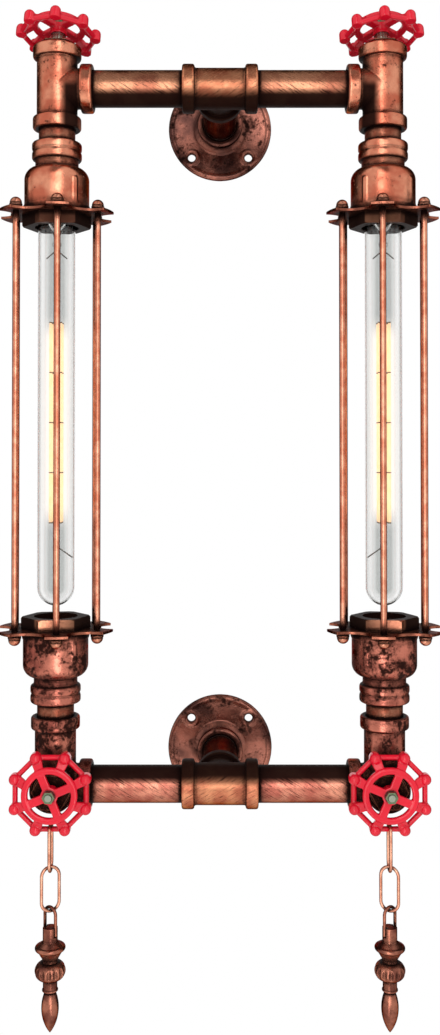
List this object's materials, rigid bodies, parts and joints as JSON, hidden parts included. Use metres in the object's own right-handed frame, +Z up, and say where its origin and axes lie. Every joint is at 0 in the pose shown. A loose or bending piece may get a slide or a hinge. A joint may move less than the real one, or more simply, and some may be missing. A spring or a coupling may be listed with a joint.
{
  "type": "wall lamp",
  "caption": "Pipe-fitting wall lamp: two caged tubular bulbs on columns between crossbars, with red handwheels, wall flanges and chained drop pendants.",
  "frame": {"origin": "centre of the upper wall flange's bolt circle, on the wall face", "axes": "+X to the lamp's right as seen from the room, +Y into the wall, +Z up"},
  "size_m": [0.3334, 0.1514, 0.749],
  "materials": {
    "antique_copper": "rubbed antique copper over dark brown",
    "dark_copper": "darkened antique copper",
    "rod_copper": "reddish copper plate",
    "chain_copper": "polished copper plate",
    "red_enamel": "gloss red enamel",
    "zinc_nut": "zinc plate",
    "brass": "plain",
    "porcelain": "glazed",
    "clear_glass": "clear",
    "support_wire": "plain drawn wire",
    "filament": "glowing",
    "lead_sheath": "matt"
  },
  "bodies": {
    "frame": {"upper_wall_flange": "antique_copper", "lower_wall_flange": "antique_copper", "upper_standoff_pipe": "antique_copper", "lower_standoff_pipe": "antique_copper", "upper_middle_tee": "antique_copper", "lower_middle_tee": "antique_copper", "upper_left_crossbar": "antique_copper", "upper_right_crossbar": "antique_copper", "lower_left_crossbar": "antique_copper", "lower_right_crossbar": "antique_copper", "left_top_tee": "antique_copper", "right_top_tee": "antique_copper", "left_top_stem": "dark_copper", "right_top_stem": "dark_copper", "left_top_wheel_nut": "zinc_nut", "right_top_wheel_nut": "zinc_nut", "left_holder": "antique_copper", "right_holder": "antique_copper", "left_upper_plate": "antique_copper", "right_upper_plate": "antique_copper", "left_cage_rods": "rod_copper", "right_cage_rods": "rod_copper", "left_lower_plate": "antique_copper", "right_lower_plate": "antique_copper", "left_lower_cup": "antique_copper", "right_lower_cup": "antique_copper", "left_corner_fitting": "antique_copper", "right_corner_fitting": "antique_copper", "left_front_stem": "dark_copper", "right_front_stem": "dark_copper", "left_front_wheel_nut": "zinc_nut", "right_front_wheel_nut": "zinc_nut", "left_bulb_cap": "brass", "right_bulb_cap": "brass", "left_bulb_glass": "clear_glass", "right_bulb_glass": "clear_glass", "column_nipples": "antique_copper", "ring_nuts": "dark_copper", "cage_nuts": "rod_copper", "stem_plugs": "dark_copper", "socket_bodies": "porcelain", "socket_shells": "brass", "socket_contacts": "brass", "bulb_mounts": "clear_glass", "bulb_wires": "support_wire", "bulb_filaments": "filament", "supply_leads": "lead_sheath"},
    "left_top_wheel": {"left_top_handwheel": "red_enamel"},
    "left_front_wheel": {"left_front_handwheel": "red_enamel"},
    "left_link_1": {"left_upper_link": "chain_copper"},
    "left_link_2": {"left_lower_link": "chain_copper"},
    "left_drop": {"left_pendant": "dark_copper", "left_bail": "dark_copper"},
    "right_top_wheel": {"right_top_handwheel": "red_enamel"},
    "right_front_wheel": {"right_front_handwheel": "red_enamel"},
    "right_link_1": {"right_upper_link": "chain_copper"},
    "right_link_2": {"right_lower_link": "chain_copper"},
    "right_drop": {"right_pendant": "dark_copper", "right_bail": "dark_copper"}
  },
  "joints": [
    {"name": "left_top_wheel_turn", "type": "hinge", "parent": "frame", "child": "left_top_wheel", "pos_m": [-0.12236, -0.10483, 0.04379], "axis": [0.0515, 0.1736, 0.9835], "continuous": true},
    {"name": "left_front_wheel_turn", "type": "hinge", "parent": "frame", "child": "left_front_wheel", "pos_m": [-0.123, -0.1328, -0.522], "axis": [0, 1, 0], "range_deg": [-40, 40]},
    {"name": "left_link_1_swing", "type": "hinge", "parent": "left_front_wheel", "child": "left_link_1", "pos_m": [-0.123, -0.13, -0.54778], "axis": [1, 0, 0], "range_deg": [-35, 35]},
    {"name": "left_link_2_swing", "type": "hinge", "parent": "left_link_1", "child": "left_link_2", "pos_m": [-0.123, -0.13, -0.57788], "axis": [0, 1, 0], "range_deg": [-40, 40]},
    {"name": "left_drop_swing", "type": "hinge", "parent": "left_link_2", "child": "left_drop", "pos_m": [-0.123, -0.13, -0.60678], "axis": [0.9063, 0.4226, 0], "range_deg": [-40, 40]},
    {"name": "right_top_wheel_turn", "type": "hinge", "parent": "frame", "child": "right_top_wheel", "pos_m": [0.12236, -0.10483, 0.04379], "axis": [-0.0515, 0.1736, 0.9835], "continuous": true},
    {"name": "right_front_wheel_turn", "type": "hinge", "parent": "frame", "child": "right_front_wheel", "pos_m": [0.123, -0.1328, -0.522], "axis": [0, 1, 0], "range_deg": [-40, 40]},
    {"name": "right_link_1_swing", "type": "hinge", "parent": "right_front_wheel", "child": "right_link_1", "pos_m": [0.123, -0.13, -0.54778], "axis": [1, 0, 0], "range_deg": [-35, 35]},
    {"name": "right_link_2_swing", "type": "hinge", "parent": "right_link_1", "child": "right_link_2", "pos_m": [0.123, -0.13, -0.57788], "axis": [0, 1, 0], "range_deg": [-40, 40]},
    {"name": "right_drop_swing", "type": "hinge", "parent": "right_link_2", "child": "right_drop", "pos_m": [0.123, -0.13, -0.60678], "axis": [0.9063, -0.4226, 0], "range_deg": [-40, 40]}
  ]
}
